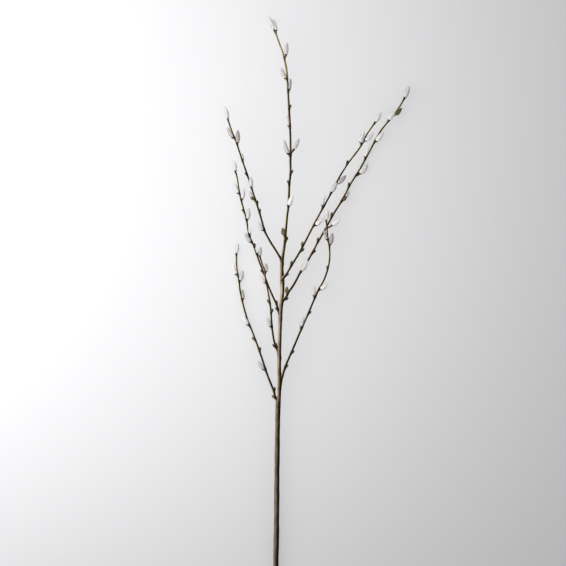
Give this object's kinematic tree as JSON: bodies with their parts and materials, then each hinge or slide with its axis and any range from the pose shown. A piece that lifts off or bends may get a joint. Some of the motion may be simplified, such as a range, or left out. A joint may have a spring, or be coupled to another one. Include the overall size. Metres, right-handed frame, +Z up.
{
  "type": "pussy willow branch",
  "caption": "Cut pussy willow branch lying on its side: a slim leader that forks into side shoots set with silver catkins and small brown buds.",
  "frame": {"origin": "on the surface the branch rests on, under the middle of its bounding box", "axes": "+Y from the cut end towards the leader's tip, +X to the right as seen from above with the tip away from the viewer, +Z up"},
  "size_m": [0.3251, 1.1006, 0.07],
  "materials": {
    "bark": "smooth grey-brown bark, olive towards the tip",
    "shoot_bark": "satin olive-brown bark of young wood",
    "bud_scale": "glossy dark brown to olive scale",
    "catkin_fur": "silky silver-white hair over a grey core",
    "cut_wood": "pale sawn end grain"
  },
  "bodies": {
    "root": {"leader": "bark", "left_top_shoot": "shoot_bark", "left_middle_shoot": "shoot_bark", "left_inner_shoot": "shoot_bark", "left_low_shoot": "shoot_bark", "right_inner_shoot": "shoot_bark", "right_outer_shoot": "shoot_bark", "right_low_shoot": "shoot_bark"}
  },
  "joints": []
}
